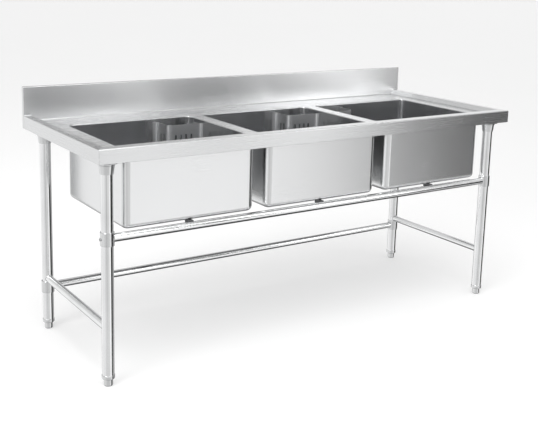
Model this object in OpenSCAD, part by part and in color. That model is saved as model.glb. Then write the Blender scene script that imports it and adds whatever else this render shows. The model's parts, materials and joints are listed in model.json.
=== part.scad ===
// Three compartment sink: a pressed worktop with raised rims and splashback,
// three deep bowls with slotted corner guards, on a tubular frame with adjustable feet.
// X runs along the length, Y towards the back, Z up. The origin is on the floor,
// under the middle of the worktop. All sizes are in millimetres.

/* [Overall] */
// Length of the worktop, end to end
top_l = 1800; // [1780:10:1900]
// Depth of the worktop, front to back
top_d = 700; // [690:5:740]
// Height of the rim's flat top above the floor
top_h = 800; // [760:10:900]
// Rise of the splashback above the rim
splash_h = 105; // [60:5:200]
// Thickness of the folded splashback
splash_t = 18; // [12:1:24]

/* [Worktop] */
// Sheet thickness of the worktop and splashback
sheet = 1.2; // [1:0.1:2]
// Height of the aprons
apron_h = 48; // [44:1:56]
// Width of the rim's flat top at the two ends
rim_side = 28; // [22:1:32]
// Width of the rim's flat top at the front
rim_front = 40; // [34:1:42]
// Horizontal run of the slope from the rim down to the deck
rim_slope = 12; // [8:1:12]
// Drop from the rim to the deck
rim_drop = 19; // [14:1:22]

/* [Bowls] */
// Outside width of a bowl, left to right
bowl_w = 496; // [460:2:500]
// Outside depth of a bowl, front to back
bowl_d = 478; // [440:2:482]
// Clear distance between neighbouring bowls
bowl_gap = 49; // [40:1:60]
// Height of a bowl, from the deck to the underside of its bottom
bowl_h = 265; // [240:5:280]
// Distance from the worktop's front face to the first wall of the bowls
bowl_setback = 59; // [56:1:64]
// Outside radius of a bowl's upright corners
bowl_r = 25; // [23:1:34]
// Outside radius between a bowl's walls and bottom
bowl_base_r = 20; // [12:1:21]
// Sheet thickness of the bowls
bowl_t = 1.2; // [1:0.1:2]
// Width of the flange that is welded under the deck
bowl_flange = 12; // [8:1:14]

/* [Corner guards] */
// Width of a guard, from the bowl's side wall
guard_w = 140; // [130:5:160]
// Depth of a guard, from the bowl's rear wall
guard_d = 94; // [92:1:110]
// Gap between the top of a guard and the deck
guard_drop = 14; // [10:1:24]
// Sheet thickness of a guard
guard_t = 1; // [0.8:0.1:1.5]
// Outside radius of the guard's bend
guard_r = 22; // [16:1:30]
// Outside radius of the curled ends that touch the walls
curl_r = 13; // [10:1:16]
// Length of the flat tab after each curled end
tab_l = 5; // [3:1:8]
// Width of a drain slot
slot_w = 8; // [5:1:10]
// Distance between neighbouring drain slots
slot_pitch = 22; // [18:1:22]
// Height of an upper drain slot
slot_high_h = 56; // [40:2:60]
// Height of a lower drain slot
slot_low_h = 84; // [60:2:90]
// Running gap around the lift-out pieces
lift_gap = 0.4; // [0.3:0.1:0.8]

/* [Wastes and overflow pipes] */
// Distance of the waste's centre from the bowl's side wall
waste_in_x = 66; // [60:1:72]
// Distance of the waste's centre from the bowl's rear wall
waste_in_y = 56; // [55:1:57]
// Radius of the waste's flange
waste_flange_r = 34; // [30:1:34]
// Thickness of the waste's flange
waste_flange_t = 3; // [2:0.5:4]
// Outside radius of the waste's threaded tail
waste_r = 23.9; // [23.9:0.1:24]
// Length of the waste's tail below the bowl
waste_l = 64; // [50:2:80]
// Outside radius of the overflow pipe
pipe_r = 19; // [16:0.5:19]
// Wall thickness of the overflow pipe
pipe_t = 1.6; // [1.2:0.1:2.5]
// Gap between the top of the pipe and the top of the guard
pipe_drop = 28; // [20:2:60]
// Length of pipe that plugs into the waste
plug_l = 14; // [8:1:20]
// Thickness of the lock nuts
nut_t = 10; // [6:1:14]
// Thickness of the rubber washers
washer_t = 3; // [2:0.5:4]

/* [Frame] */
// Distance from the worktop's ends to the leg axes
leg_in_x = 51; // [50:1:60]
// Distance from the worktop's front face to the front leg axes
leg_in_front = 60; // [56:1:66]
// Distance from the worktop's rear face to the rear leg axes
leg_in_rear = 90; // [60:5:110]
// Outside radius of a leg
leg_r = 20; // [18:0.5:22]
// Wall thickness of legs and rails
tube_t = 1.5; // [1:0.1:2]
// Outside radius of the rails
rail_r = 14; // [12:0.5:15]
// Height of the front rail's axis below the bowls' bottoms
front_rail_drop = 18; // [17:1:40]
// Height of the side rails' axes above the floor
side_rail_z = 197; // [190:1:260]
// Height of the rear rail's axis above the floor
rear_rail_z = 165; // [120:5:180]
// Height of a clamp collar
clamp_h = 44; // [36:1:50]
// Wall thickness of a clamp collar
clamp_t = 3; // [2:0.5:4]
// Width of the channels under the deck
channel_w = 48; // [44:1:48]
// Wall thickness of the channels
channel_t = 1.5; // [1.2:0.1:2]
// Depth of the channels that carry the legs, below the deck sheet
channel_h = 38; // [30:1:44]
// Length of a leg socket below its channel
socket_h = 30; // [24:1:44]
// Outside radius of a socket at its top
socket_top_r = 26; // [24:1:28]
// Outside radius of a socket at its mouth
socket_low_r = 22; // [21.8:0.1:24]
// Width of a bowl support pad
pad_w = 12; // [10:1:24]

/* [Feet] */
// Radius of a foot
foot_r = 15; // [12:0.5:17]
// Height of a foot below its sleeve
foot_h = 25.5; // [20:0.5:35]
// Radius around the foot's lower edge
foot_edge_r = 4; // [2:0.5:6]
// Radius of the foot's stem
stem_r = 8; // [6:0.5:9]
// Height of the sleeve's lip around the end of the leg
lip_h = 12; // [8:1:16]
// Thickness of the sleeve's lip
lip_t = 1.5; // [1:0.1:2]
// Height of the sleeve inside the leg
sleeve_h = 34; // [28:1:50]
// Travel of a foot
foot_travel = 25; // [15:1:30]

/* [Hidden] */
$fn = 96;
half_l = top_l / 2;
front_y = -top_d / 2;
rear_y = top_d / 2;
splash_y = rear_y - splash_t;
deck_z = top_h - rim_drop;
under_deck_z = deck_z - sheet;
apron_z = top_h - apron_h;
rim_run = rim_slope / rim_drop;
rim_shift = sheet * sqrt(1 + rim_run * rim_run);
over = 5;
skin_fit = 0.05;

pitch = bowl_w + bowl_gap;
bowl_z = deck_z - bowl_h;
bowl_floor_z = bowl_z + bowl_t;
bowl_front_y = front_y + bowl_setback;
bowl_mid_y = bowl_front_y + bowl_d / 2;
bowl_rear_in_y = bowl_front_y + bowl_d - bowl_t;
bowl_in_w = bowl_w - 2 * bowl_t;
bowl_in_d = bowl_d - 2 * bowl_t;
bowl_wall_h = under_deck_z - bowl_z;

guard_z = bowl_floor_z + lift_gap;
guard_h = deck_z - guard_drop - guard_z;
slot_low_z = 18;
slot_high_z = guard_h - 38 - slot_high_h;
side_slots = 2;
front_slots = 4;

waste_top_z = bowl_floor_z + waste_flange_t;
waste_low_z = bowl_z - waste_l;
washer_z = bowl_z - washer_t;
nut_z = washer_z - nut_t;
nut_r = 33;
washer_r = 33;
shank_r = waste_r + 0.5;
shank_low_z = nut_z - 5;
pipe_collar_r = 23;
pipe_collar_h = 10;
pipe_top_z = guard_z + guard_h - pipe_drop;
pipe_mouth_r = pipe_r + 2;
pipe_mouth_h = 4;

leg_x = half_l - leg_in_x;
leg_front_y = front_y + leg_in_front;
leg_rear_y = rear_y - leg_in_rear;
leg_bottom_z = foot_h + 0.5 + lip_t;
channel_z = under_deck_z - channel_h;
channel_in_x = leg_x - channel_w / 2;
plate_t = 3;
plate_r = 27;
socket_z = channel_z - plate_t - socket_h;
leg_top_z = channel_z - plate_t - 1;
front_channel_y = front_y + 8;
side_channel_y = leg_front_y - plate_r - 1;
front_channel_d = rim_front - 12;
front_channel_z = apron_z + 6;
rim_under_z = top_h - sheet;
front_rail_z = bowl_z - front_rail_drop;
clamp_r = leg_r + clamp_t;
screw_r = 3;
screw_head_r = 5;
screw_head_h = 3;
screw_socket_r = 2;
screw_reach = 8;
set_screw_r = 3;
set_screw_l = 7;
set_screw_z = socket_z + socket_h / 2;

pad_d = 40;
pad_low_z = front_rail_z + 4;
pad_y = leg_front_y - 2;

sleeve_z = foot_h + 0.5;
sleeve_top_z = leg_bottom_z + sleeve_h;
stem_top_z = sleeve_z + foot_travel + 24;
foot_neck_h = 2;

steel = [0.78, 0.79, 0.8];
bright = [0.85, 0.86, 0.88];
dark = [0.12, 0.12, 0.13];
grey = [0.55, 0.56, 0.58];

// ---- shared shapes ----

// A box given by its low and high corners.
module span_box(low, high) {
    translate(low) cube(high - low);
}

// A rectangle with rounded corners, centred.
module round_rect(w, d, r) {
    square([w - 2 * r, d], center = true);
    square([w, d - 2 * r], center = true);
    for (sx = [-1, 1], sy = [-1, 1])
        translate([sx * (w / 2 - r), sy * (d / 2 - r)]) circle(r);
}

// Upright profile with one rounded lower corner, from the axis out to r.
module corner_profile(r, h, base_r) {
    intersection() {
        square([r, h]);
        union() {
            square([r - base_r, h]);
            translate([0, base_r]) square([r, h]);
            translate([r - base_r, base_r]) circle(base_r);
        }
    }
}

// Upright profile with both lower corners rounded, centred on its width.
module tub_profile(d, h, base_r) {
    translate([-d / 2 + base_r, 0]) square([d - 2 * base_r, h]);
    translate([-d / 2, base_r]) square([d, h - base_r]);
    for (s = [-1, 1])
        translate([s * (d / 2 - base_r), base_r]) circle(base_r);
}

// A solid tub standing on z = 0, with rounded upright corners and a rounded lower edge.
module tub(w, d, h, r, base_r) {
    flat_w = w - 2 * r;
    flat_d = d - 2 * r;
    translate([-flat_w / 2, 0, 0]) rotate([90, 0, 90])
        linear_extrude(flat_w) tub_profile(d, h, base_r);
    for (s = [0, 1])
        rotate([0, 0, 180 * s]) translate([flat_w / 2, flat_d / 2, 0]) rotate([90, 0, 0])
            linear_extrude(flat_d) corner_profile(r, h, base_r);
    for (sx = [0, 1], sy = [0, 1])
        mirror([sx, 0, 0]) mirror([0, sy, 0]) translate([flat_w / 2, flat_d / 2, 0])
            rotate_extrude(angle = 90) corner_profile(r, h, base_r);
}

// A round tube standing on z = 0.
module tube(r, t, h) {
    difference() {
        cylinder(r = r, h = h);
        translate([0, 0, -over]) cylinder(r = r - t, h = h + 2 * over);
    }
}

// A bent strip: a quarter ring from the +X direction to the +Y direction.
module quarter_ring(r, t) {
    intersection() {
        difference() {
            circle(r);
            circle(r - t);
        }
        square(r + 1);
    }
}

// ---- worktop ----

// Profile of the pan in the worktop along X, grown by g outwards and downwards.
module pan_side_profile(shift, g) {
    low = half_l - rim_side - rim_slope + shift - g * rim_run;
    high = low + (rim_drop + g + over) * rim_run;
    polygon([
        [-low, deck_z - g], [low, deck_z - g],
        [high, top_h + over], [-high, top_h + over]
    ]);
}

// Profile of the pan along Y: sloped at the front, open at the rear.
module pan_front_profile(shift, g) {
    low = front_y + rim_front + rim_slope - shift + g * rim_run;
    high = low - (rim_drop + g + over) * rim_run;
    polygon([
        [low, deck_z - g], [splash_y + over, deck_z - g],
        [splash_y + over, top_h + over], [high, top_h + over]
    ]);
}

// The space above the recessed deck, with its sloped sides.
module pan(shift, g) {
    intersection() {
        translate([0, rear_y, 0]) rotate([90, 0, 0])
            linear_extrude(top_d) pan_side_profile(shift, g);
        translate([-half_l, 0, 0]) rotate([90, 0, 90])
            linear_extrude(top_l) pan_front_profile(shift, g);
    }
}

module worktop() color(steel) {
    difference() {
        span_box([-half_l, front_y, apron_z], [half_l, splash_y, top_h]);
        pan(0, 0);
        difference() {
            span_box(
                [-half_l + sheet, front_y + sheet, apron_z - over],
                [half_l - sheet, splash_y + over, rim_under_z]
            );
            pan(rim_shift, sheet);
        }
        for (i = [-1:1])
            translate([i * pitch, bowl_mid_y, under_deck_z - over])
                linear_extrude(rim_drop + 2 * over) round_rect(bowl_in_w, bowl_in_d, bowl_r - bowl_t);
    }
}

module splashback() color(steel) {
    difference() {
        span_box([-half_l, splash_y, apron_z], [half_l, rear_y, top_h + splash_h]);
        span_box(
            [-half_l + sheet, splash_y + sheet, apron_z - over],
            [half_l - sheet, rear_y - sheet, top_h + splash_h - sheet]
        );
    }
}

// ---- underframe ----

// A box section along Y, open at both ends.
module side_channel(x) {
    y0 = side_channel_y;
    y1 = splash_y - 6;
    difference() {
        span_box([x - channel_w / 2, y0, channel_z], [x + channel_w / 2, y1, under_deck_z]);
        span_box(
            [x - channel_w / 2 + channel_t, y0 - over, channel_z + channel_t],
            [x + channel_w / 2 - channel_t, y1 + over, under_deck_z - channel_t]
        );
    }
}

// A box section along X between the side channels.
module cross_channel(y0, y1, z0, z1) {
    difference() {
        span_box([-channel_in_x, y0, z0], [channel_in_x, y1, z1]);
        span_box(
            [-channel_in_x - over, y0 + channel_t, z0 + channel_t],
            [channel_in_x + over, y1 - channel_t, z1 - channel_t]
        );
    }
}

module front_channel() color(steel)
    cross_channel(front_channel_y, front_channel_y + front_channel_d, front_channel_z, rim_under_z);

module rear_channel() color(steel)
    cross_channel(
        leg_rear_y - channel_w / 2, leg_rear_y + channel_w / 2, channel_z, under_deck_z
    );

module left_channel() color(steel) side_channel(-leg_x);

module right_channel() color(steel) side_channel(leg_x);

// ---- bowls ----

// side is 1 where the waste is at the right wall and -1 where it is at the left wall.
module waste_place(i, side) {
    translate([
        i * pitch + side * (bowl_in_w / 2 - waste_in_x), bowl_rear_in_y - waste_in_y, 0
    ])
        children();
}

module bowl(i, side) {
    difference() {
        union() {
            translate([i * pitch, bowl_mid_y, bowl_z])
                tub(bowl_w, bowl_d, bowl_wall_h, bowl_r, bowl_base_r);
            translate([i * pitch, bowl_mid_y, under_deck_z - bowl_t])
                linear_extrude(bowl_t)
                    round_rect(
                        bowl_w + 2 * bowl_flange, bowl_d + 2 * bowl_flange, bowl_r + bowl_flange
                    );
        }
        translate([i * pitch, bowl_mid_y, bowl_floor_z])
            tub(bowl_in_w, bowl_in_d, bowl_wall_h + over, bowl_r - bowl_t, bowl_base_r - bowl_t);
        waste_place(i, side) translate([0, 0, bowl_z - over])
            cylinder(r = shank_r + 0.5, h = bowl_t + 2 * over);
    }
}

module bowl_1() color(steel) bowl(-1, 1);

module bowl_2() color(steel) bowl(0, 1);

module bowl_3() color(steel) bowl(1, -1);

// ---- corner guards ----

// Plan of a guard for a rear right corner; the corner of the two walls is the origin.
module guard_plan() {
    side_x = -guard_w;
    front = -guard_d;
    // side panel and its curled end at the rear wall
    translate([side_x, front + guard_r])
        square([guard_t, guard_d - guard_r - curl_r - lift_gap]);
    translate([side_x + guard_t - curl_r, -curl_r - lift_gap]) quarter_ring(curl_r, guard_t);
    translate([side_x + guard_t - curl_r - tab_l, -guard_t - lift_gap]) square([tab_l, guard_t]);
    // bend between the panels
    translate([side_x + guard_r, front + guard_r]) rotate(180) quarter_ring(guard_r, guard_t);
    // front panel and its curled end at the side wall
    translate([side_x + guard_r, front])
        square([guard_w - guard_r - curl_r - lift_gap, guard_t]);
    translate([-curl_r - lift_gap, front + guard_t - curl_r]) quarter_ring(curl_r, guard_t);
    translate([-guard_t - lift_gap, front + guard_t - curl_r - tab_l]) square([guard_t, tab_l]);
}

// Two rows of upright slots through a panel; the panel runs along X from the origin.
module slot_rows(count) {
    for (k = [0:count - 1], row = [0, 1])
        translate([
            k * slot_pitch - slot_w / 2, -over, row == 0 ? slot_low_z : slot_high_z
        ])
            cube([slot_w, 2 * over, row == 0 ? slot_low_h : slot_high_h]);
}

// Room for the rounded edge between a bowl's wall and its bottom: the wall is at x = 0.
module base_edge_room() {
    r = bowl_base_r - bowl_t;
    difference() {
        translate([-r, -over]) square([r + over, r + over]);
        translate([-r, r]) circle(r - lift_gap);
    }
}

module corner_guard(i, side) {
    translate([i * pitch + side * bowl_in_w / 2, bowl_rear_in_y, guard_z])
        mirror([side < 0 ? 1 : 0, 0, 0])
            difference() {
                linear_extrude(guard_h) guard_plan();
                translate([0, over, bowl_floor_z - guard_z]) rotate([90, 0, 0])
                    linear_extrude(guard_d + curl_r + tab_l + 2 * over) base_edge_room();
                translate([over, 0, bowl_floor_z - guard_z]) rotate([90, 0, -90])
                    linear_extrude(guard_w + curl_r + tab_l + 2 * over)
                        mirror([1, 0, 0]) base_edge_room();
                translate([-guard_w + guard_r + slot_pitch / 2, -guard_d, 0])
                    slot_rows(front_slots);
                translate([-guard_w, -guard_d + guard_r + slot_pitch / 2, 0])
                    rotate([0, 0, 90]) slot_rows(side_slots);
            }
}

module corner_guard_1() color(bright) corner_guard(-1, 1);

module corner_guard_2() color(bright) corner_guard(0, 1);

module corner_guard_3() color(bright) corner_guard(1, -1);

// ---- wastes and overflow pipes ----

module waste(i, side) {
    bore_r = pipe_r + skin_fit;
    waste_place(i, side) difference() {
        union() {
            translate([0, 0, bowl_floor_z]) cylinder(r = waste_flange_r, h = waste_flange_t);
            translate([0, 0, shank_low_z]) cylinder(r = shank_r, h = waste_top_z - shank_low_z);
            translate([0, 0, waste_low_z]) cylinder(r = waste_r, h = waste_top_z - waste_low_z);
        }
        translate([0, 0, waste_low_z - over])
            cylinder(r = pipe_r - pipe_t, h = waste_top_z - waste_low_z + 2 * over);
        translate([0, 0, waste_top_z - plug_l - 1]) cylinder(r = bore_r, h = plug_l + over);
    }
}

module waste_1() color(bright) waste(-1, 1);

module waste_2() color(bright) waste(0, 1);

module waste_3() color(bright) waste(1, -1);

module at_each_waste() {
    for (i = [-1:1]) waste_place(i, i > 0 ? -1 : 1) children();
}

module waste_nuts() color(grey)
    at_each_waste() translate([0, 0, nut_z]) difference() {
        cylinder(r = nut_r, h = nut_t, $fn = 6);
        translate([0, 0, -over]) cylinder(r = shank_r + skin_fit, h = nut_t + 2 * over);
    }

module waste_washers() color(dark)
    at_each_waste() translate([0, 0, washer_z])
        tube(washer_r, washer_r - shank_r - skin_fit, washer_t);

module overflow_pipe(i, side) {
    collar_z = waste_top_z + lift_gap;
    low_z = waste_top_z - plug_l;
    waste_place(i, side) difference() {
        union() {
            translate([0, 0, low_z]) cylinder(r = pipe_r, h = pipe_top_z - low_z);
            translate([0, 0, collar_z]) cylinder(r = pipe_collar_r, h = pipe_collar_h);
            translate([0, 0, pipe_top_z - pipe_mouth_h]) cylinder(r = pipe_mouth_r, h = pipe_mouth_h);
        }
        translate([0, 0, low_z - over])
            cylinder(r = pipe_r - pipe_t, h = pipe_top_z - low_z + 2 * over);
    }
}

module overflow_pipe_1() color(bright) overflow_pipe(-1, 1);

module overflow_pipe_2() color(bright) overflow_pipe(0, 1);

module overflow_pipe_3() color(bright) overflow_pipe(1, -1);

// ---- legs, sockets and rails ----

// Direction that a leg's screws face: the front pair outwards, the rear pair backwards.
function screw_turn(side, y) = y < 0 ? (side < 0 ? 180 : 0) : 90;

module at_leg(side, y) {
    translate([side * leg_x, y, 0]) children();
}

module leg(side, y, clamp_z) {
    at_leg(side, y) difference() {
        translate([0, 0, leg_bottom_z]) tube(leg_r, tube_t, leg_top_z - leg_bottom_z);
        translate([0, 0, clamp_z]) rotate([0, 90, screw_turn(side, y)])
            cylinder(r = screw_r, h = leg_r + over);
    }
}

module leg_front_left() color(steel) leg(-1, leg_front_y, front_rail_z);

module leg_front_right() color(steel) leg(1, leg_front_y, front_rail_z);

module leg_rear_left() color(steel) leg(-1, leg_rear_y, rear_rail_z);

module leg_rear_right() color(steel) leg(1, leg_rear_y, rear_rail_z);

// A flared socket under its channel, with a bore for the leg and one for the set screw.
module leg_socket(side, y) {
    at_leg(side, y) difference() {
        union() {
            translate([0, 0, channel_z - plate_t]) cylinder(r = plate_r, h = plate_t);
            translate([0, 0, socket_z])
                cylinder(r1 = socket_low_r, r2 = socket_top_r, h = socket_h);
        }
        translate([0, 0, socket_z - over])
            cylinder(r = leg_r + skin_fit, h = socket_h + over);
        translate([0, 0, set_screw_z]) rotate([0, 90, y < 0 ? 90 : -90])
            cylinder(r = set_screw_r, h = socket_top_r + over);
    }
}

module socket_front_left() color(steel) leg_socket(-1, leg_front_y);

module socket_front_right() color(steel) leg_socket(1, leg_front_y);

module socket_rear_left() color(steel) leg_socket(-1, leg_rear_y);

module socket_rear_right() color(steel) leg_socket(1, leg_rear_y);

module socket_screws() color(grey)
    for (side = [-1, 1], y = [leg_front_y, leg_rear_y])
        at_leg(side, y) translate([0, 0, set_screw_z]) rotate([0, 90, y < 0 ? 90 : -90])
            translate([0, 0, leg_r + skin_fit]) difference() {
                cylinder(r = set_screw_r, h = set_screw_l);
                translate([0, 0, set_screw_l - 3]) cylinder(r = 1.6, h = over, $fn = 6);
            }

// A rail along Y between a front and a rear leg, coped onto both.
module side_rail(side) {
    difference() {
        translate([side * leg_x, leg_front_y, side_rail_z]) rotate([-90, 0, 0])
            tube(rail_r, tube_t, leg_rear_y - leg_front_y);
        for (y = [leg_front_y, leg_rear_y])
            at_leg(side, y) cylinder(r = leg_r, h = top_h);
    }
}

module side_rail_left() color(steel) side_rail(-1);

module side_rail_right() color(steel) side_rail(1);

// A rail along X between two legs, coped onto the clamp collars.
module long_rail(y, z) {
    difference() {
        translate([-leg_x, y, z]) rotate([0, 90, 0]) tube(rail_r, tube_t, 2 * leg_x);
        for (side = [-1, 1])
            at_leg(side, y) cylinder(r = clamp_r, h = top_h);
    }
}

module front_rail() color(steel) long_rail(leg_front_y, front_rail_z);

module rear_rail() color(steel) long_rail(leg_rear_y, rear_rail_z);

// A collar around a leg, with a hole for its screw.
module clamp(side, y, z) {
    at_leg(side, y) translate([0, 0, z]) difference() {
        translate([0, 0, -clamp_h / 2]) tube(clamp_r, clamp_t - skin_fit, clamp_h);
        rotate([0, 90, screw_turn(side, y)]) cylinder(r = screw_r, h = clamp_r + over);
        if (y > 0)
            translate([0, leg_front_y - y, side_rail_z - z]) rotate([-90, 0, 0])
                cylinder(r = rail_r + 0.5, h = y - leg_front_y);
    }
}

module clamp_front_left() color(steel) clamp(-1, leg_front_y, front_rail_z);

module clamp_front_right() color(steel) clamp(1, leg_front_y, front_rail_z);

module clamp_rear_left() color(steel) clamp(-1, leg_rear_y, rear_rail_z);

module clamp_rear_right() color(steel) clamp(1, leg_rear_y, rear_rail_z);

module clamp_screws() color(grey)
    for (side = [-1, 1], y = [leg_front_y, leg_rear_y])
        at_leg(side, y) translate([0, 0, y < 0 ? front_rail_z : rear_rail_z])
            rotate([0, 90, screw_turn(side, y)]) difference() {
                union() {
                    translate([0, 0, leg_r - screw_reach])
                        cylinder(r = screw_r, h = screw_reach + clamp_t);
                    translate([0, 0, clamp_r]) cylinder(r = screw_head_r, h = screw_head_h);
                }
                translate([0, 0, clamp_r + 1]) cylinder(r = screw_socket_r, h = over, $fn = 6);
            }

// Pads that sit on the front rail and carry the bowls' front edges.
module bowl_pads() color(dark)
    for (i = [-1:1])
        difference() {
            span_box(
                [i * pitch - pad_w / 2, pad_y, pad_low_z],
                [i * pitch + pad_w / 2, pad_y + pad_d, bowl_z]
            );
            translate([i * pitch - pad_w, leg_front_y, front_rail_z]) rotate([0, 90, 0])
                cylinder(r = rail_r, h = 2 * pad_w);
        }

// ---- feet ----

// Sleeve with a lip around the end of the leg and a bore for the foot's stem.
module foot_sleeve(side, y) {
    at_leg(side, y) difference() {
        translate([0, 0, sleeve_z]) cylinder(r = leg_r + skin_fit + lip_t, h = lip_h);
        difference() {
            translate([0, 0, leg_bottom_z]) cylinder(r = leg_r + skin_fit, h = lip_h);
            cylinder(r = leg_r - tube_t - skin_fit, h = sleeve_top_z);
        }
        translate([0, 0, -over]) cylinder(r = stem_r + skin_fit, h = sleeve_top_z + 2 * over);
    }
    at_leg(side, y) translate([0, 0, leg_bottom_z])
        tube(leg_r - tube_t - skin_fit, leg_r - tube_t - 2 * skin_fit - stem_r, sleeve_h);
}

module foot_sleeve_front_left() color(dark) foot_sleeve(-1, leg_front_y);

module foot_sleeve_front_right() color(dark) foot_sleeve(1, leg_front_y);

module foot_sleeve_rear_left() color(dark) foot_sleeve(-1, leg_rear_y);

module foot_sleeve_rear_right() color(dark) foot_sleeve(1, leg_rear_y);

// Half profile of a foot and its stem.
module foot_profile() {
    square([foot_r - foot_edge_r, foot_h - foot_neck_h]);
    translate([0, foot_edge_r]) square([foot_r, foot_h - foot_edge_r - foot_neck_h]);
    intersection() {
        translate([foot_r - foot_edge_r, foot_edge_r]) circle(foot_edge_r);
        square([foot_r, foot_edge_r]);
    }
    polygon([
        [0, foot_h - foot_neck_h], [foot_r, foot_h - foot_neck_h],
        [foot_r - foot_neck_h, foot_h], [0, foot_h]
    ]);
    square([stem_r, stem_top_z]);
}

module foot(side, y) {
    at_leg(side, y) rotate_extrude() foot_profile();
}

module foot_front_left() color(grey) foot(-1, leg_front_y);

module foot_front_right() color(grey) foot(1, leg_front_y);

module foot_rear_left() color(grey) foot(-1, leg_rear_y);

module foot_rear_right() color(grey) foot(1, leg_rear_y);

// ---- assembly ----

worktop();
splashback();
front_channel();
rear_channel();
left_channel();
right_channel();
bowl_1();
bowl_2();
bowl_3();
corner_guard_1();
corner_guard_2();
corner_guard_3();
waste_1();
waste_2();
waste_3();
waste_nuts();
waste_washers();
overflow_pipe_1();
overflow_pipe_2();
overflow_pipe_3();
leg_front_left();
leg_front_right();
leg_rear_left();
leg_rear_right();
socket_front_left();
socket_front_right();
socket_rear_left();
socket_rear_right();
socket_screws();
side_rail_left();
side_rail_right();
front_rail();
rear_rail();
clamp_front_left();
clamp_front_right();
clamp_rear_left();
clamp_rear_right();
clamp_screws();
bowl_pads();
foot_sleeve_front_left();
foot_sleeve_front_right();
foot_sleeve_rear_left();
foot_sleeve_rear_right();
foot_front_left();
foot_front_right();
foot_rear_left();
foot_rear_right();
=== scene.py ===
"""Three compartment sink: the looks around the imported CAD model, in metres, +Z up."""

import json
import math

import bmesh
import bpy
from mathutils import Matrix, Vector


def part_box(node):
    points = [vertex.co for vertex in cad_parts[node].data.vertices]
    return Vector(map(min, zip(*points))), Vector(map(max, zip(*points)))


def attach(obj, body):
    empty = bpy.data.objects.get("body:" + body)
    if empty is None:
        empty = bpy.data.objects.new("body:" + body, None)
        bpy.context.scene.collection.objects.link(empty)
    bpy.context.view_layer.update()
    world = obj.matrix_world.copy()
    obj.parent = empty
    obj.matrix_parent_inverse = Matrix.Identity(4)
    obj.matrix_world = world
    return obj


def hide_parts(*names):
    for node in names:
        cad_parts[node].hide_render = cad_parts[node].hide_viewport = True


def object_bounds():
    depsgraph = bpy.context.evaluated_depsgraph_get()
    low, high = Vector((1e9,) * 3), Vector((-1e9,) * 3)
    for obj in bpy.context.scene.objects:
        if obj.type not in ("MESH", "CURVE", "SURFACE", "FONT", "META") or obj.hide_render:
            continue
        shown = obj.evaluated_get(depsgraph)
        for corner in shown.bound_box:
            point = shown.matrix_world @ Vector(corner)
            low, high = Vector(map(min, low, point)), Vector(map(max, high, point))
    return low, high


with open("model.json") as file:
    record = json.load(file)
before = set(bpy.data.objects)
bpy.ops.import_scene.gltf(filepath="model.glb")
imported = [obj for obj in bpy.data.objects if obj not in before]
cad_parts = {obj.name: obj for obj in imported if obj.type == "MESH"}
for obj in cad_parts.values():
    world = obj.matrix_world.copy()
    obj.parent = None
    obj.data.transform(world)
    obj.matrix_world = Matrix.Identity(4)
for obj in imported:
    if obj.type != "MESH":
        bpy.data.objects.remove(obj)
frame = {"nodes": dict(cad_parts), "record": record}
cad_low, cad_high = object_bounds()
ROOT = "sink"

# ---- sizes shared with the CAD, in metres ----

SHEET = 0.0012
RIM_SIDE = 0.028
RIM_FRONT = 0.040
RIM_SLOPE = 0.012
RIM_DROP = 0.019
# The rim's bend radii, from the deck outwards: foot of the slope, crest, outer edge and hem
RIM_FOOT_R = 0.004
RIM_CREST_R = 0.0025
RIM_EDGE_R = 0.0028
RIM_HEM_R = 0.0008
# Height of the apron's folded hem, and the strip of deck that is made with the rim
RIM_HEM = 0.012
RIM_FLAT = 0.008
BOWL_FLANGE = 0.012
BOWL_SHEET = 0.0012
BOWL_CORNER_R = 0.0238
BOWL_BASE_R = 0.0188
WASTE_HOLE_R = 0.0249

# Depth of the fine lines that brushing and polishing leave, and of a sheet's slow waves
RUBBED_DEPTH = 0.00003
WAVE_DEPTH = 0.012
# How far a normal leans along Z or X for a face to count as level or as facing sideways
LEVEL_SHARE = 0.7
SIDEWAYS_SHARE = 0.4

BOWLS = ("1", "2", "3")
CORNERS = ("front_left", "front_right", "rear_left", "rear_right")


# ---- mesh helpers ----


def arc(centre, radius, start, end, steps):
    """Points on an arc in a plane, angles in degrees."""
    points = []
    for k in range(steps + 1):
        a = math.radians(start + (end - start) * k / steps)
        points.append((centre[0] + radius * math.cos(a), centre[1] + radius * math.sin(a)))
    return points


def rounded(points, radii, steps=4):
    """A plane polyline with its inner corners rounded; radii has one radius for each inner corner."""
    out = [points[0]]
    for before, corner, after, radius in zip(points, points[1:], points[2:], radii):
        here = Vector(corner)
        to_before = (Vector(before) - here).normalized()
        to_after = (Vector(after) - here).normalized()
        half = to_before.angle(to_after) / 2
        reach = radius / math.tan(half)
        middle = here + (to_before + to_after).normalized() * (radius / math.sin(half))
        first = here + to_before * reach - middle
        last = here + to_after * reach - middle
        turn = first.angle_signed(last)
        for k in range(steps + 1):
            out.append(tuple(middle + Matrix.Rotation(-turn * k / steps, 2) @ first))
    out.append(points[-1])
    return out


def round_ring(centre, width, depth, radius, z, steps=8):
    """A closed ring of points: a rectangle with rounded corners, at one height."""
    points = []
    corners = ((1, 1, 0), (-1, 1, 90), (-1, -1, 180), (1, -1, 270))
    for sx, sy, start in corners:
        middle = (
            centre[0] + sx * (width / 2 - radius),
            centre[1] + sy * (depth / 2 - radius),
        )
        points += [Vector((x, y, z)) for x, y in arc(middle, radius, start, start + 90, steps)]
    return points


def circle_ring(centre, radius, z, steps=48):
    return [
        Vector((centre[0] + radius * math.cos(a), centre[1] + radius * math.sin(a), z))
        for a in (2 * math.pi * k / steps for k in range(steps))
    ]


def add_ring(bm, points):
    return [bm.verts.new(p) for p in points]


def bridge(bm, a, b, closed=True):
    """Quads between two rings of the same length."""
    count = len(a)
    for k in range(count if closed else count - 1):
        n = (k + 1) % count
        bm.faces.new((a[k], a[n], b[n], b[k]))


def loft(bm, rings, closed=True):
    """Bands of quads from each ring of points to the next."""
    made = [add_ring(bm, r) for r in rings]
    for a, b in zip(made, made[1:]):
        bridge(bm, a, b, closed)
    return made


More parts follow.
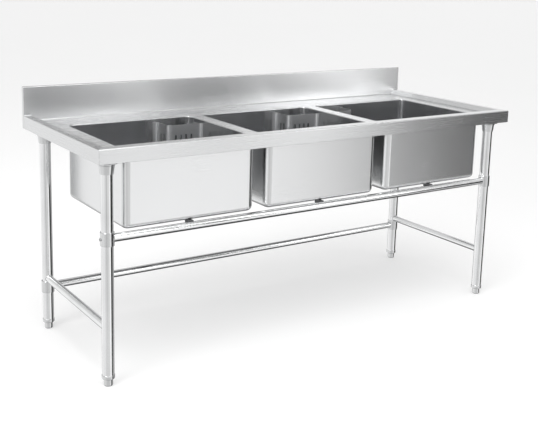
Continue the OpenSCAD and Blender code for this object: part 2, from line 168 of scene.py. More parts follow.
def fill_between(bm, rings):
    """A flat face between closed rings of vertices: the first is the outline, the others are holes."""
    edges = []
    for ring in rings:
        for a, b in zip(ring, ring[1:] + ring[:1]):
            edges.append(bm.edges.get((a, b)) or bm.edges.new((a, b)))
    bmesh.ops.triangle_fill(bm, use_beauty=True, use_dissolve=False, edges=edges)


def finish_mesh(name, bm, material, body=ROOT, replaces=(), sharp=35, towards=None):
    """Turns a bmesh into a smooth-shaded object that rides on a body."""
    bmesh.ops.remove_doubles(bm, verts=bm.verts, dist=1e-6)
    bmesh.ops.recalc_face_normals(bm, faces=bm.faces)
    if towards is not None:
        bm.normal_update()
        if sum(f.normal.z * f.calc_area() for f in bm.faces) * towards < 0:
            bmesh.ops.reverse_faces(bm, faces=bm.faces)
    mesh = bpy.data.meshes.new(name)
    bm.to_mesh(mesh)
    bm.free()
    mesh.polygons.foreach_set("use_smooth", [True] * len(mesh.polygons))
    mesh.set_sharp_from_angle(angle=math.radians(sharp))
    mesh.materials.append(material)
    piece = bpy.data.objects.new(name, mesh)
    bpy.context.scene.collection.objects.link(piece)
    weights = piece.modifiers.new("flat faces stay flat", "WEIGHTED_NORMAL")
    weights.keep_sharp = True
    weights.weight = 100
    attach(piece, body)
    if replaces:
        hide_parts(*replaces)
    return piece


def lathe(bm, centre, profile, steps=48):
    """Turns a profile of (radius, height) points about an upright axis; a radius of 0 closes it."""
    rings = [[bm.verts.new((centre[0], centre[1], z))] if r == 0 else
             add_ring(bm, circle_ring(centre, r, z, steps)) for r, z in profile]
    for a, b in zip(rings, rings[1:]):
        if len(a) == 1 and len(b) == 1:
            continue
        if len(a) == 1 or len(b) == 1:
            tip, ring = (a[0], b) if len(a) == 1 else (b[0], a)
            for k, v in enumerate(ring):
                bm.faces.new((tip, v, ring[(k + 1) % len(ring)]))
        else:
            bridge(bm, a, b)


def bead(bm, path, radius, sides=8):
    """A closed round bead along a closed path, with the faint ripple of a weld."""
    count = len(path)
    rings = []
    for k in range(count):
        along = (path[(k + 1) % count] - path[k - 1]).normalized()
        side = along.orthogonal().normalized()
        if rings:
            side = (last_side - along * last_side.dot(along)).normalized()
        last_side = side
        up = along.cross(side)
        r = radius * (1 + 0.12 * math.sin(k * 2.1))
        rings.append([
            bm.verts.new(path[k] + side * r * math.cos(a) + up * r * math.sin(a))
            for a in (2 * math.pi * n / sides for n in range(sides))
        ])
    for k in range(count - 1):
        bridge(bm, rings[k], rings[k + 1])
    first, last = rings[0], rings[-1]
    shift = min(range(sides), key=lambda s: (last[0].co - first[s].co).length)
    bridge(bm, last, first[shift:] + first[:shift])


def centre_of(node):
    low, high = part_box(node)
    return (low + high) / 2


# ---- node material helpers ----


class Nodes:
    """A material's node tree, with short ways to add what steel needs."""

    def __init__(self, tree):
        self.tree = tree

    def add(self, kind, **values):
        node = self.tree.nodes.new(kind)
        for key, value in values.items():
            setattr(node, key, value)
        return node

    def link(self, source, target):
        self.tree.links.new(source, target)

    def math(self, operation, a, b=0.0):
        node = self.add("ShaderNodeMath", operation=operation)
        for socket, value in zip(node.inputs, (a, b)):
            if isinstance(value, (int, float)):
                socket.default_value = value
            else:
                self.link(value, socket)
        return node.outputs[0]

    def scaled(self, vector, scale):
        node = self.add("ShaderNodeMapping")
        node.inputs["Scale"].default_value = scale
        self.link(vector, node.inputs["Vector"])
        return node.outputs[0]

    def noise(self, vector, scale, detail=2.0, roughness=0.5):
        node = self.add("ShaderNodeTexNoise")
        node.inputs["Scale"].default_value = scale
        node.inputs["Detail"].default_value = detail
        node.inputs["Roughness"].default_value = roughness
        self.link(vector, node.inputs["Vector"])
        return node.outputs["Fac"]

    def remap(self, value, low, high, to_low, to_high, smooth=False):
        node = self.add("ShaderNodeMapRange")
        node.interpolation_type = "SMOOTHSTEP" if smooth else "LINEAR"
        for key, number in (
            ("From Min", low), ("From Max", high), ("To Min", to_low), ("To Max", to_high)
        ):
            node.inputs[key].default_value = number
        self.link(value, node.inputs["Value"])
        return node.outputs[0]

    def colours(self, value, dark, light):
        node = self.add("ShaderNodeMix", data_type="RGBA")
        node.inputs["A"].default_value = (*dark, 1)
        node.inputs["B"].default_value = (*light, 1)
        self.link(value, node.inputs["Factor"])
        return node.outputs["Result"]

    def bumped(self, height, strength, distance, before=None):
        node = self.add("ShaderNodeBump")
        node.inputs["Strength"].default_value = strength
        node.inputs["Distance"].default_value = distance
        self.link(height, node.inputs["Height"])
        if before is not None:
            self.link(before, node.inputs["Normal"])
        return node.outputs[0]


def new_material(name):
    """A node material with its tree and its shader."""
    material = bpy.data.materials.new(name)
    material.use_nodes = True
    nodes = Nodes(material.node_tree)
    shader = material.node_tree.nodes["Principled BSDF"]
    return material, nodes, shader


def brushed_steel(name, light, dark, roughness, grain, anisotropy, warp=0.0):
    """Brushed sheet: streaks run along X, and on faces that face sideways and side rims, along Y."""
    material, nodes, shader = new_material(name)
    place = nodes.add("ShaderNodeTexCoord").outputs["Object"]
    spot = nodes.add("ShaderNodeSeparateXYZ")
    nodes.link(place, spot.inputs[0])
    normal = nodes.add("ShaderNodeNewGeometry").outputs["Normal"]
    facing = nodes.add("ShaderNodeSeparateXYZ")
    nodes.link(normal, facing.inputs[0])
    from_end = nodes.math("SUBTRACT", cad_high.x, nodes.math("ABSOLUTE", spot.outputs["X"]))
    from_front = nodes.math("SUBTRACT", spot.outputs["Y"], cad_low.y)
    mitred = nodes.math(
        "LESS_THAN", from_end, nodes.math("MULTIPLY", from_front, RIM_SIDE / RIM_FRONT)
    )
    on_side = nodes.math("LESS_THAN", from_end, RIM_SIDE + RIM_SLOPE)
    level = nodes.math("GREATER_THAN", nodes.math("ABSOLUTE", facing.outputs["Z"]), LEVEL_SHARE)
    on_rim = nodes.math("MULTIPLY", nodes.math("MULTIPLY", mitred, on_side), level)
    turned = nodes.math(
        "GREATER_THAN", nodes.math("ABSOLUTE", facing.outputs["X"]), SIDEWAYS_SHARE
    )
    sideways = nodes.math("MAXIMUM", on_rim, turned)
    straight = nodes.math("SUBTRACT", 1.0, sideways)
    lined = []
    for first, second in (("X", "Y"), ("Y", "X")):
        part = nodes.math("MULTIPLY", spot.outputs[first], straight)
        other = nodes.math("MULTIPLY", spot.outputs[second], sideways)
        lined.append(nodes.math("ADD", part, other))
    joined = nodes.add("ShaderNodeCombineXYZ")
    nodes.link(lined[0], joined.inputs["X"])
    nodes.link(lined[1], joined.inputs["Y"])
    nodes.link(spot.outputs["Z"], joined.inputs["Z"])
    fine_lines, broad_lines = (7, 900, 900), (1.5, 120, 120)
    streaks = nodes.noise(nodes.scaled(joined.outputs[0], fine_lines), 1.0, 3.0, 0.6)
    broad = nodes.noise(nodes.scaled(joined.outputs[0], broad_lines), 1.0, 2.0)
    cloud = nodes.noise(place, 3.5, 3.0)
    mixed = nodes.math(
        "ADD", nodes.math("MULTIPLY", streaks, 0.6), nodes.math("MULTIPLY", broad, 0.4)
    )
    nodes.link(
        nodes.colours(nodes.remap(mixed, 0.3, 0.7, 0, 1), dark, light), shader.inputs["Base Color"]
    )
    uneven = nodes.math("ADD", nodes.remap(cloud, 0.1, 0.9, -0.02, 0.02),
                        nodes.remap(streaks, 0.3, 0.7, -0.012, 0.012))
    nodes.link(nodes.math("ADD", uneven, roughness), shader.inputs["Roughness"])
    shader.inputs["Metallic"].default_value = 1.0
    shader.inputs["Anisotropic"].default_value = anisotropy
    grain_way = nodes.add("ShaderNodeCombineXYZ")
    nodes.link(straight, grain_way.inputs["X"])
    nodes.link(sideways, grain_way.inputs["Y"])
    across = nodes.add("ShaderNodeVectorMath", operation="CROSS_PRODUCT")
    nodes.link(normal, across.inputs[0])
    nodes.link(grain_way.outputs[0], across.inputs[1])
    nodes.link(across.outputs["Vector"], shader.inputs["Tangent"])
    wave = nodes.bumped(nodes.noise(place, 2.2, 1.0), warp, WAVE_DEPTH)
    nodes.link(nodes.bumped(streaks, grain, RUBBED_DEPTH, wave), shader.inputs["Normal"])
    return material


def polished_steel(name, light, dark, roughness, rub=0.1):
    """Polished tube or fitting: nearly smooth, with fine rubbed lines and cloudy patches."""
    material, nodes, shader = new_material(name)
    place = nodes.add("ShaderNodeTexCoord").outputs["Object"]
    rubbed = nodes.noise(nodes.scaled(place, (160, 160, 700)), 1.0, 3.0, 0.6)
    cloud = nodes.noise(place, 9.0, 3.0)
    nodes.link(
        nodes.colours(nodes.remap(cloud, 0.3, 0.7, 0, 1), dark, light), shader.inputs["Base Color"]
    )
    uneven = nodes.math("ADD", nodes.remap(rubbed, 0.3, 0.7, -0.025, 0.025),
                        nodes.remap(cloud, 0.35, 0.7, -0.015, 0.03))
    nodes.link(nodes.math("ADD", uneven, roughness), shader.inputs["Roughness"])
    shader.inputs["Metallic"].default_value = 1.0
    nodes.link(nodes.bumped(rubbed, rub, RUBBED_DEPTH), shader.inputs["Normal"])
    return material


def moulded(name, light, dark, roughness, grain):
    """Rubber or moulded plastic with a fine texture."""
    material, nodes, shader = new_material(name)
    place = nodes.add("ShaderNodeTexCoord").outputs["Object"]
    speckle = nodes.noise(place, 900.0, 2.0)
    cloud = nodes.noise(place, 40.0, 3.0)
    nodes.link(nodes.colours(cloud, dark, light), shader.inputs["Base Color"])
    uneven = nodes.remap(cloud, 0.3, 0.7, roughness - 0.06, roughness + 0.06)
    nodes.link(uneven, shader.inputs["Roughness"])
    nodes.link(nodes.bumped(speckle, grain, 0.0001), shader.inputs["Normal"])
    return material


def grey(level):
    """A steel's grey at one level, with the slight blue that steel has."""
    return (level, level + 0.005, level + 0.01)


def make_materials():
    """Each material by its key, which is a slot of the record except for the last three."""
    return {
        "worktop_sheet": brushed_steel(
            "worktop sheet", grey(0.72), grey(0.69), 0.27, grain=0.03, anisotropy=0.8, warp=0.02
        ),
        "bowl_sheet": brushed_steel(
            "bowl sheet", grey(0.82), grey(0.79), 0.26, grain=0.05, anisotropy=0.5
        ),
        "guard_sheet": brushed_steel(
            "guard sheet", grey(0.76), grey(0.72), 0.30, grain=0.03, anisotropy=0.3
        ),
        "frame_steel": polished_steel("frame steel", grey(0.74), grey(0.65), 0.19),
        "tube_steel": polished_steel("tube steel", grey(0.87), grey(0.80), 0.13),
        "foot_steel": polished_steel("foot steel", grey(0.76), grey(0.66), 0.2),
        "fitting": polished_steel("fitting", grey(0.82), grey(0.74), 0.12),
        "screw": polished_steel("screw", grey(0.55), grey(0.42), 0.30),
        "nut_plastic": moulded("nut plastic", (0.26, 0.26, 0.27), (0.21, 0.21, 0.22), 0.55, 0.25),
        "rubber": moulded("rubber", (0.11, 0.11, 0.115), (0.08, 0.08, 0.085), 0.75, 0.5),
        "splash_sheet": brushed_steel(
            "splash sheet", grey(0.70), grey(0.67), 0.25, grain=0.03, anisotropy=0.85, warp=0.02
        ),
        # the bowls' insides: the bowl sheet's steel with its colour painted darker, as painted shade
        # for the inside of each bowl
        "bowl_inside": brushed_steel(
            "bowl inside with painted shade", (0.64, 0.645, 0.655), (0.61, 0.615, 0.625), 0.21, grain=0.02,
            anisotropy=0.4
        ),
        "weld": polished_steel("ground weld", grey(0.62), grey(0.50), 0.34),
    }


# ---- worktop and splashback ----


def bowl_opening(number):
    """(centre, width, depth) of a bowl's inside, from the box of its flange."""
    low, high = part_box("bowl_" + number)
    trim = 2 * (BOWL_FLANGE + BOWL_SHEET)
    return (low + high) / 2, high.x - low.x - trim, high.y - low.y - trim


def rim_profile(width, top_z, low_z):
    """The rim's section, from the deck over the rim, down the apron and back underneath: (in, z)."""
    deck_z = top_z - RIM_DROP
    run = RIM_SLOPE / RIM_DROP
    shift = SHEET * math.sqrt(1 + run * run)
    inner = width + RIM_SLOPE
    flat, fold = inner + RIM_FLAT, SHEET * 3
    outside = rounded(
        [
            (flat, deck_z), (inner, deck_z), (width, top_z),
            (0, top_z), (0, low_z), (fold, low_z)
        ],
        [RIM_FOOT_R, RIM_CREST_R, RIM_EDGE_R, RIM_HEM_R], 5
    )
    under_z = top_z - SHEET
    inside = [
        (fold, low_z + RIM_HEM_R), (fold, low_z + RIM_HEM), (SHEET, low_z + RIM_HEM + 0.0005),
        (SHEET, under_z), (width - shift + SHEET * run, under_z),
        (inner - shift + SHEET * run, deck_z - SHEET), (flat, deck_z - SHEET)
    ]
    return outside + inside


def make_worktop(material):
    """The pressed sheet: rims and aprons on three sides, and a deck with three cut-outs."""
    low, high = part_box("worktop")
    top_z, low_z, rear_y = high.z, low.z, high.y
    deck_z = top_z - RIM_DROP
    corner_r, mouth_r = 0.0025, 0.003
    side = rim_profile(RIM_SIDE, top_z, low_z)
    front = rim_profile(RIM_FRONT, top_z, low_z)
    bm = bmesh.new()
    rows = []
    for (ds, z), (df, _) in zip(side, front):
        corner = max(corner_r - min(ds, df), 0.0)
        row = [Vector((low.x + ds, rear_y, z))]
        for sx, x in ((1, low.x + ds), (-1, high.x - ds)):
            y = low.y + df
            turn = [
                Vector((x + sx * corner * (1 - math.cos(a)), y + corner * (1 - math.sin(a)), z))
                for a in (math.radians(22.5 * k) for k in range(5))
            ]
            row += turn if sx > 0 else turn[::-1]
        row.append(Vector((high.x - ds, rear_y, z)))
        rows.append(row)
    made = loft(bm, rows, closed=False)
    top_ring, low_ring = made[0], made[-1]
    holes_top, holes_low = [], []
    for number in BOWLS:
        centre, width, depth = bowl_opening(number)
        rings = []
        for k in range(5):
            a = math.radians(22.5 * k)
            out = mouth_r * (1 - math.sin(a))
            drop = SHEET * (1 - math.cos(a))
            rings.append(round_ring(
                centre, width + 2 * out, depth + 2 * out, BOWL_CORNER_R + out, deck_z - drop
            ))
        lofted = loft(bm, rings)
        holes_top.append(lofted[0])
        holes_low.append(lofted[-1])
    fill_between(bm, [top_ring] + holes_top)
    fill_between(bm, [low_ring] + holes_low)
    return finish_mesh(
        "worktop_sheet_pressed", bm, material, replaces=("worktop",), sharp=50
    )


def make_splashback(material):
    """The folded sheet: front, top and rear in one turn, with closed ends and an open underside."""
    low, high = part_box("splashback")
    radius, edge = 0.0025, 0.0008
    section = rounded(
        [(high.y, low.z), (high.y, high.z), (low.y, high.z), (low.y, low.z)], [radius, radius], 5
    )
    inner = [
        (low.y + SHEET, low.z), (low.y + SHEET, high.z - SHEET),
        (high.y - SHEET, high.z - SHEET), (high.y - SHEET, low.z)
    ]
    bm = bmesh.new()
    ends = ((low.x, edge), (low.x + edge, 0.0), (high.x - edge, 0.0), (high.x, edge))
    middle_y = (low.y + high.y) / 2
    rows = []
    for x, inset in ends:
        row = []
        for y, z in section:
            shift_y = inset if y < middle_y else -inset
            shift_z = -inset if z > high.z - 2 * radius else 0.0
            row.append(Vector((x, y + shift_y, z + shift_z)))
        rows.append(row)
    made = loft(bm, rows, closed=False)
    bm.faces.new(made[0])
    bm.faces.new(made[-1])
    inside = [[Vector((x, y, z)) for y, z in inner] for x in (low.x + SHEET, high.x - SHEET)]
    hollow = loft(bm, inside, closed=False)
    bm.faces.new(hollow[0])
    bm.faces.new(hollow[-1])
    rim = [made[1][0], made[2][0], made[2][-1], made[1][-1]]
    mouth = [hollow[0][3], hollow[1][3], hollow[1][0], hollow[0][0]]
    fill_between(bm, [rim, mouth])
    return finish_mesh(
        "splashback_sheet_folded", bm, material, replaces=("splashback",), sharp=50
    )


def make_seam_welds(material):
    """Ground fillets where the splashback stands on the deck, slopes and rims."""
    low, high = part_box("worktop")
    face_y, top_z = high.y, high.z
    deck_z = top_z - RIM_DROP
    size, from_end, lift = 0.0025, 0.001, 0.0001
    outline = [
        (low.x + from_end, top_z), (low.x + RIM_SIDE, top_z),
        (low.x + RIM_SIDE + RIM_SLOPE, deck_z), (high.x - RIM_SIDE - RIM_SLOPE, deck_z),
        (high.x - RIM_SIDE, top_z), (high.x - from_end, top_z)
    ]
    bm = bmesh.new()
    rows = []
    for degrees in range(0, 91, 15):
        t = math.radians(degrees)
        out, up = size * (1 - math.sin(t)), size * (1 - math.cos(t))
        rows.append([Vector((x, face_y - out, z + up + lift)) for x, z in outline])
    loft(bm, rows, closed=False)
    return finish_mesh("splashback_seam", bm, material, towards=1)


# ---- bowls ----


def make_bowl(number, inside_material, outside_material):
    """Two skins of one drawn sheet: the polished inside, its colour painted darker as painted shade,
    and the brushed outside.
    """
    node = "bowl_" + number
    low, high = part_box(node)
    centre, width, depth = bowl_opening(number)
    floor_z, top_z = low.z + BOWL_SHEET, high.z
    waste = centre_of("waste_" + number)

    def ring(inset, z):
        return round_ring(
            centre, width - 2 * inset, depth - 2 * inset, BOWL_CORNER_R - inset, z
        )

    def base(start, radius, z):
        """The rings of the round turn from a bowl's upright walls into its floor."""
        turn = arc((start + radius, z + radius), radius, 180, 270, 8)
        return [ring(inset, height) for inset, height in turn]

    edge_r = 0.003
    inner = [
        ring(-edge_r * 0.4, top_z),
        ring(-edge_r * 0.1, top_z - edge_r * 0.4),
        ring(0, top_z - edge_r)
    ]
    inner += base(0, BOWL_BASE_R, floor_z)
    bm = bmesh.new()
    bottom = loft(bm, inner)[-1]
    fill_between(bm, [bottom, add_ring(bm, circle_ring(waste, WASTE_HOLE_R, floor_z))])
    finish_mesh("bowl_inside_" + number, bm, inside_material, sharp=50, towards=1)
    under_z = top_z - BOWL_SHEET
    bend_r = 0.002
    bend_mid = bend_r * 0.3
    outer = [
        ring(-edge_r * 0.35, top_z),
        ring(-BOWL_SHEET - BOWL_FLANGE, top_z),
        ring(-BOWL_SHEET - BOWL_FLANGE, under_z),
        ring(-BOWL_SHEET - bend_r, under_z),
        ring(-BOWL_SHEET - bend_mid, under_z - bend_mid),
        ring(-BOWL_SHEET, under_z - bend_r)
    ]
    outer += base(-BOWL_SHEET, BOWL_BASE_R + BOWL_SHEET, low.z)
    bm = bmesh.new()
    under = loft(bm, outer)[-1]
    fill_between(bm, [under, add_ring(bm, circle_ring(waste, WASTE_HOLE_R, low.z))])
    finish_mesh(
        "bowl_outside_" + number, bm, outside_material, replaces=(node,), sharp=50
    )


# ---- small turned pieces ----


def turn_foot(corner, material):
    """A foot: a round pad with a rounded lower edge, and a threaded stem up into the sleeve."""
    foot = "foot_" + corner
    low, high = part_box(foot)
    gap, round_r, edge, neck = 0.0025, 0.004, 0.0008, 0.002
    neck_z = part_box("foot_sleeve_" + corner)[0].z - gap
    radius = (high.x - low.x) / 2
    stem_r, pitch, groove, crest = 0.008, 0.002, 0.0009, 0.0001
    chamfer = 0.001
    profile = [(0, low.z), (radius - round_r, low.z)]
    profile += arc((radius - round_r, low.z + round_r), round_r, -90, 0, 6)
    profile += [(radius, neck_z - edge), (radius - edge, neck_z), (stem_r + neck, neck_z)]
    profile += [(stem_r + neck, neck_z + neck)]
    z = neck_z + neck
    while z + pitch < high.z - chamfer:
        profile += [(stem_r - groove, z), (stem_r - crest, z + pitch / 2)]
        z += pitch
    profile += [(stem_r - chamfer, high.z), (0, high.z)]
    bm = bmesh.new()
    lathe(bm, (low + high) / 2, profile)
    finish_mesh("foot_turned_" + corner, bm, material,
                body=foot, replaces=(foot,), sharp=40)


def turn_sleeve(corner, material):
    """A sleeve: a collar that shows below the leg tube, and a hollow plug inside it."""
    sleeve = "foot_sleeve_" + corner
    low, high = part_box(sleeve)
    outer_r = (high.x - low.x) / 2
    seat_r, plug_r, bore_r = 0.02005, 0.0184, 0.00805
    lip_z, step_z = low.z + 0.012, low.z + 0.0016
    round_r, edge = 0.001, 0.0006
    profile = [(bore_r, low.z), (outer_r - round_r, low.z)]
    profile += arc((outer_r - round_r, low.z + round_r), round_r, -90, 0, 3)
    profile += [(outer_r, lip_z - edge), (outer_r - edge, lip_z), (seat_r, lip_z)]
    profile += [(seat_r, step_z), (plug_r, step_z)]
    profile += [(plug_r, high.z - round_r), (plug_r - round_r, high.z)]
    profile += [(bore_r, high.z), (bore_r, low.z)]
    bm = bmesh.new()
    lathe(bm, centre_of("foot_" + corner), profile)
    finish_mesh("foot_sleeve_turned_" + corner, bm, material,
                replaces=(sleeve,), sharp=40)


def make_feet(material):
    for corner in CORNERS:
        turn_foot(corner, material)
        turn_sleeve(corner, material)


def make_wastes(material):
    """Wastes: a dished flange, a seat for the overflow pipe, and a threaded tail."""
    tail_r, seat_r, bore_r = 0.0239, 0.01905, 0.0174
    flange, plain, seat = 0.003, 0.016, 0.015
    pitch, groove = 0.0023, 0.0009
    edge, chamfer = 0.0008, 0.001
    bevel, bevel_drop, border = 0.003, 0.0006, 0.006
    lead_in, lead_in_drop = 0.002, 0.0015
    for number in BOWLS:
        node = "waste_" + number
        low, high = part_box(node)
        centre = (low + high) / 2
        flange_r = (high.x - low.x) / 2
        under_z = high.z - flange
        profile = [(bore_r, low.z), (tail_r - edge, low.z)]
        z = low.z + chamfer
        while z < under_z - plain:
            profile += [(tail_r - groove, z), (tail_r, z + pitch / 2)]
            z += pitch
        profile += [(tail_r, under_z), (flange_r - chamfer, under_z)]
        profile += [(flange_r, under_z + edge), (flange_r - bevel, high.z - bevel_drop)]
        profile += [(flange_r - border, high.z), (seat_r + lead_in, high.z)]
        profile += [(seat_r, high.z - lead_in_drop)]
        profile += [(seat_r, high.z - seat), (bore_r, high.z - seat), (bore_r, low.z)]
        bm = bmesh.new()
        lathe(bm, centre, profile)
        finish_mesh("waste_turned_" + number, bm, material, replaces=(node,), sharp=40)


def make_pipes(material):
    """Overflow pipes: a plug end, a collar that rests on the waste and a rolled lip at the mouth."""
    pipe_r, bore_r = 0.019, 0.0174
    collar_rise, collar_h = 0.0144, 0.010
    step, slope = 0.001, 0.003
    lip_r, edge, mouth_edge = 0.002, 0.0006, 0.0008
    for number in BOWLS:
        node = "overflow_pipe_" + number
        low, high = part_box(node)
        centre = (low + high) / 2
        collar_r = (high.x - low.x) / 2
        collar_z = low.z + collar_rise
        collar_top_z = collar_z + collar_h
        profile = [(bore_r, low.z), (pipe_r - edge, low.z), (pipe_r, low.z + edge)]
        profile += [(pipe_r, collar_z), (collar_r - step, collar_z), (collar_r, collar_z + step)]
        profile += [(collar_r, collar_top_z - slope), (collar_r - slope, collar_top_z)]
        profile += [(pipe_r, collar_top_z), (pipe_r, high.z - 2.5 * lip_r)]
        profile += arc((pipe_r, high.z - lip_r), lip_r, -90, 90, 8)
        profile += [(bore_r + edge, high.z), (bore_r, high.z - mouth_edge)]
        profile += [(bore_r, low.z)]
        bm = bmesh.new()
        lathe(bm, centre, profile)
        finish_mesh("overflow_pipe_drawn_" + number, bm, material,
                    body="overflow_" + number, replaces=(node,), sharp=40)


# ---- welds ----

LEG_BEAD_R = 0.0016
CLAMP_BEAD_R = 0.0015
PLATE_BEAD_R = 0.0012


def saddle(axis_point, along, tube_r, post_r, sense, steps=40):
    """The curve where a level tube meets an upright post."""
    side = Vector((0, 0, 1)).cross(along)
    points = []
    for k in range(steps):
        a = 2 * math.pi * k / steps
        across, up = tube_r * math.cos(a), tube_r * math.sin(a)
        reach = math.sqrt(post_r * post_r - across * across)
        points.append(axis_point + along * sense * reach + side * across + Vector((0, 0, up)))
    return points


def make_frame_welds(material):
    """Beads where the side rails meet the legs, and the long rails the clamps."""
    bm = bmesh.new()
    for name in ("left", "right"):
        low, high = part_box("side_rail_" + name)
        z, radius = (low.z + high.z) / 2, (high.z - low.z) / 2
        for end, sense in (("front_", 1), ("rear_", -1)):
            leg = centre_of("leg_" + end + name)
            leg_low, leg_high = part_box("leg_" + end + name)
            post_r = (leg_high.x - leg_low.x) / 2
            centre = Vector((leg.x, leg.y, z))
            bead(bm, saddle(centre, Vector((0, 1, 0)), radius, post_r, sense), LEG_BEAD_R)
    for name in ("front", "rear"):
        low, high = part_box(name + "_rail")
        z, radius = (low.z + high.z) / 2, (high.z - low.z) / 2
        for end, sense in (("_left", 1), ("_right", -1)):
            clamp_low, clamp_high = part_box("clamp_" + name + end)
            clamp = (clamp_low + clamp_high) / 2
            post_r = (clamp_high.x - clamp_low.x) / 2
            centre = Vector((clamp.x, clamp.y, z))
            bead(bm, saddle(centre, Vector((1, 0, 0)), radius, post_r, sense), CLAMP_BEAD_R)
    return finish_mesh("rail_welds", bm, material)


def make_plate_welds(material):
    """Beads round the necks of the sockets, under their top plates."""
    neck_r, plate = 0.0262, 0.0036
    bm = bmesh.new()
    for corner in CORNERS:
        socket_top_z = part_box("socket_" + corner)[1].z
        ring = circle_ring(centre_of("socket_" + corner), neck_r, socket_top_z - plate)
        bead(bm, ring, PLATE_BEAD_R)
    return finish_mesh("socket_welds", bm, material)


# ---- CAD nodes that keep their shape ----


def paint_cad_nodes(materials):
    """Gives each CAD node the material of its slot in the record."""
    slots = {s["node"]: s["material_slot"] for s in frame["record"]["subparts"]}
    for name, piece in frame["nodes"].items():
        piece.data.materials.clear()
        piece.data.materials.append(materials[slots[name]])


# ---- studio ----


def heading(turn, rise):
    """A direction: turn is degrees clockwise from +Y seen from above, rise is degrees above level."""
    a, e = math.radians(turn), math.radians(rise)
    return (math.sin(a) * math.cos(e), math.cos(a) * math.cos(e), math.sin(e))


class Surroundings:
    """How bright the studio is in each direction, as reflections see it; all angles in degrees."""

    def __init__(self, nodes, plain):
        self.nodes = nodes
        self.direction = nodes.add("ShaderNodeTexCoord").outputs["Generated"]
        self.brightness = plain
        self.belt = None

    def along(self, turn, rise):
        """The cosine of the angle between a direction and a heading."""
        product = self.nodes.add("ShaderNodeVectorMath", operation="DOT_PRODUCT")
        self.nodes.link(self.direction, product.inputs[0])
        product.inputs[1].default_value = heading(turn, rise)
        return product.outputs["Value"]

    def change(self, amount):
        self.brightness = self.nodes.math("ADD", self.brightness, amount)

    def patch(self, turn, rise, full, fade, change):
        """A round patch: changed in full within one radius, and not at all past the other."""
        self.change(self.nodes.remap(
            self.along(turn, rise), math.cos(math.radians(fade)), math.cos(math.radians(full)),
            0.0, change, smooth=True
        ))

    def level_belt(self):
        """1 from about the horizon to halfway up the sky, and 0 below and above."""
        nodes = self.nodes
        height = nodes.add("ShaderNodeSeparateXYZ")
        nodes.link(self.direction, height.inputs[0])
        above = nodes.remap(height.outputs["Z"], -0.10, 0.04, 0.0, 1.0, smooth=True)
        below = nodes.remap(height.outputs["Z"], 0.45, 0.75, 1.0, 0.0, smooth=True)
        return nodes.math("MULTIPLY", above, below)

    def strip(self, turn, full, fade, change):
        """An upright strip in the belt, with its two half widths."""
        nodes = self.nodes
        if self.belt is None:
            self.belt = self.level_belt()
        offset = nodes.math("ABSOLUTE", self.along(turn + 90, 0))
        part = nodes.remap(
            offset, math.sin(math.radians(full)), math.sin(math.radians(fade)),
            change, 0.0, smooth=True
        )
        ahead = nodes.math("GREATER_THAN", self.along(turn, 0), 0.0)
        self.change(nodes.math("MULTIPLY", nodes.math("MULTIPLY", part, ahead), self.belt))


def arrange_surroundings(studio):
    """The patches and strips, by what shows them from the photograph's side."""
    # fronts of the aprons and bowls: dim towards the right, bright in the middle
    studio.patch(turn=120, rise=-9, full=15, fade=25, change=-1.10)
    studio.patch(turn=149, rise=-20, full=9, fade=18, change=0.45)
    # left faces of the apron and the first bowl
    studio.patch(turn=335, rise=-14, full=14, fade=30, change=0.30)
    # legs: a dark right edge, a fine line in the middle and a bright left part
    studio.patch(turn=72, rise=-14, full=20, fade=42, change=-0.42)
    studio.patch(turn=212, rise=-14, full=3, fade=11, change=-0.30)
    studio.patch(turn=285, rise=-14, full=25, fade=45, change=0.20)
    # faces in the gaps between the bowls, darker below
    studio.patch(turn=30, rise=-22, full=12, fade=26, change=-0.25)
    studio.patch(turn=20, rise=-42, full=16, fade=34, change=-0.45)
    # rails and the bowls' lower edges: dark lines underneath, and a fainter one on top
    studio.patch(turn=0, rise=-90, full=35, fade=62, change=-0.45)
    studio.patch(turn=90, rise=-56, full=12, fade=26, change=-0.60)
    studio.patch(turn=72, rise=50, full=12, fade=26, change=-0.55)
    # deck: dim at the left, bright at the right
    studio.patch(turn=8, rise=15, full=10, fade=26, change=-0.60)
    studio.patch(turn=47, rise=15, full=8, fade=20, change=0.60)
    # a small bright patch for the highlights in the bowls' corners and the guards' bends
    studio.patch(turn=247, rise=16, full=6, fade=15, change=6.0)
    # splashback: dark and bright strips by turns
    studio.strip(turn=162, full=2.0, fade=4.5, change=-1.10)
    studio.strip(turn=155.5, full=1.0, fade=3.5, change=2.4)
    studio.strip(turn=149.5, full=2.0, fade=4.5, change=-1.30)
    studio.strip(turn=142, full=2.5, fade=5.0, change=3.2)


def make_world():
    """A pale studio: plain white behind the object, soft bright and dim regions for reflections."""
    world = bpy.data.worlds.new("studio")
    bpy.context.scene.world = world
    world.use_nodes = True
    nodes = Nodes(world.node_tree)
    world.node_tree.nodes.clear()
    studio = Surroundings(nodes, plain=0.95)
    arrange_surroundings(studio)
    darkest = 0.03
    around = nodes.add("ShaderNodeBackground")
    lit = nodes.math("MAXIMUM", studio.brightness, darkest)
    nodes.link(lit, around.inputs["Strength"])
    backdrop = nodes.add("ShaderNodeBackground")
    backdrop.inputs["Color"].default_value = (1, 1, 1, 1)
    backdrop.inputs["Strength"].default_value = 1.0
    pick = nodes.add("ShaderNodeMixShader")
    nodes.link(nodes.add("ShaderNodeLightPath").outputs["Is Camera Ray"], pick.inputs["Fac"])
    nodes.link(around.outputs[0], pick.inputs[1])
    nodes.link(backdrop.outputs[0], pick.inputs[2])
    nodes.link(pick.outputs[0], nodes.add("ShaderNodeOutputWorld").inputs["Surface"])


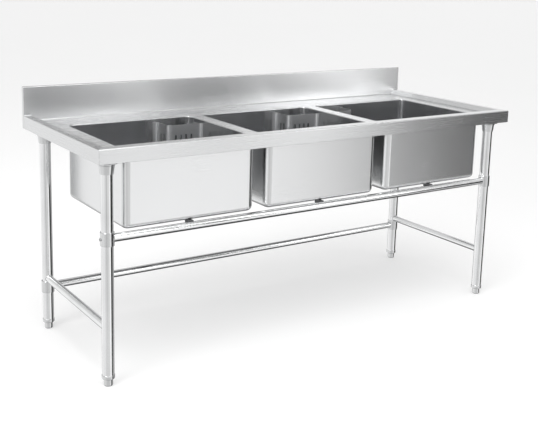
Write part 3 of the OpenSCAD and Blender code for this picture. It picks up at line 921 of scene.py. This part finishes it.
def make_floor():
    """A pale floor that reaches far past the view and lifts itself a little, like a lit sweep."""
    half_size, glow = 60.0, 0.41
    bm = bmesh.new()
    bmesh.ops.create_grid(bm, x_segments=1, y_segments=1, size=half_size)
    mesh = bpy.data.meshes.new("floor")
    bm.to_mesh(mesh)
    bm.free()
    floor = bpy.data.objects.new("floor", mesh)
    bpy.context.scene.collection.objects.link(floor)
    material, nodes, shader = new_material("pale floor")
    place = nodes.add("ShaderNodeTexCoord").outputs["Object"]
    nodes.link(
        nodes.colours(nodes.noise(place, 0.6, 2.0), (0.60, 0.60, 0.60), (0.63, 0.63, 0.63)),
        shader.inputs["Base Color"]
    )
    shader.inputs["Roughness"].default_value = 0.9
    shader.inputs["Specular IOR Level"].default_value = 0.1
    shader.inputs["Emission Color"].default_value = (1, 1, 1, 1)
    shader.inputs["Emission Strength"].default_value = glow
    mesh.materials.append(material)
    floor.visible_glossy = False


def make_light(name, centre, aim, width, height, power):
    """A soft box that shines from its centre at a point."""
    data = bpy.data.lights.new(name, "AREA")
    data.shape = "RECTANGLE"
    data.size, data.size_y, data.energy = width, height, power
    lamp = bpy.data.objects.new(name, data)
    bpy.context.scene.collection.objects.link(lamp)
    lamp.location = centre
    lamp.rotation_euler = (Vector(aim) - Vector(centre)).to_track_quat("-Z", "Y").to_euler()
    lamp.visible_camera = False


def make_studio():
    """Surroundings, floor and two soft boxes: power in watts, sizes in metres."""
    make_world()
    make_floor()
    make_light("overhead softbox", (-0.6, -0.8, 3.4), (0, 0, 0.6), 3.2, 2.4, 60)
    make_light("left softbox", (-3.6, -1.6, 2.2), (0, 0, 0.5), 2.4, 2.0, 35)


def make_camera():
    """The camera in front, to the left and above, with its heading, fall and roll in degrees."""
    place = Vector((-1.9533, -2.8343, 1.3599))
    turn, down, roll = 33.912, 11.001, math.radians(1.542)
    ahead = Vector(heading(turn, -down))
    right = Vector(heading(turn + 90, 0))
    up = right.cross(ahead)
    across = right * math.cos(roll) + up * math.sin(roll)
    upward = up * math.cos(roll) - right * math.sin(roll)
    data = bpy.data.cameras.new("camera")
    data.sensor_fit = "HORIZONTAL"
    data.sensor_width = 36.0
    data.lens = 60.12
    data.shift_y = -0.1403
    camera = bpy.data.objects.new("camera", data)
    bpy.context.scene.collection.objects.link(camera)
    camera.matrix_world = Matrix((
        (across.x, upward.x, -ahead.x, place.x),
        (across.y, upward.y, -ahead.y, place.y),
        (across.z, upward.z, -ahead.z, place.z),
        (0, 0, 0, 1)
    ))
    bpy.context.scene.camera = camera


def main():
    bpy.context.scene.view_settings.view_transform = "Standard"
    materials = make_materials()
    paint_cad_nodes(materials)
    make_worktop(materials["worktop_sheet"])
    make_splashback(materials["splash_sheet"])
    make_seam_welds(materials["weld"])
    for number in BOWLS:
        make_bowl(number, materials["bowl_inside"], materials["bowl_sheet"])
    make_feet(materials["foot_steel"])
    make_wastes(materials["fitting"])
    make_pipes(materials["fitting"])
    make_frame_welds(materials["frame_steel"])
    make_plate_welds(materials["frame_steel"])
    make_studio()
    make_camera()


main()
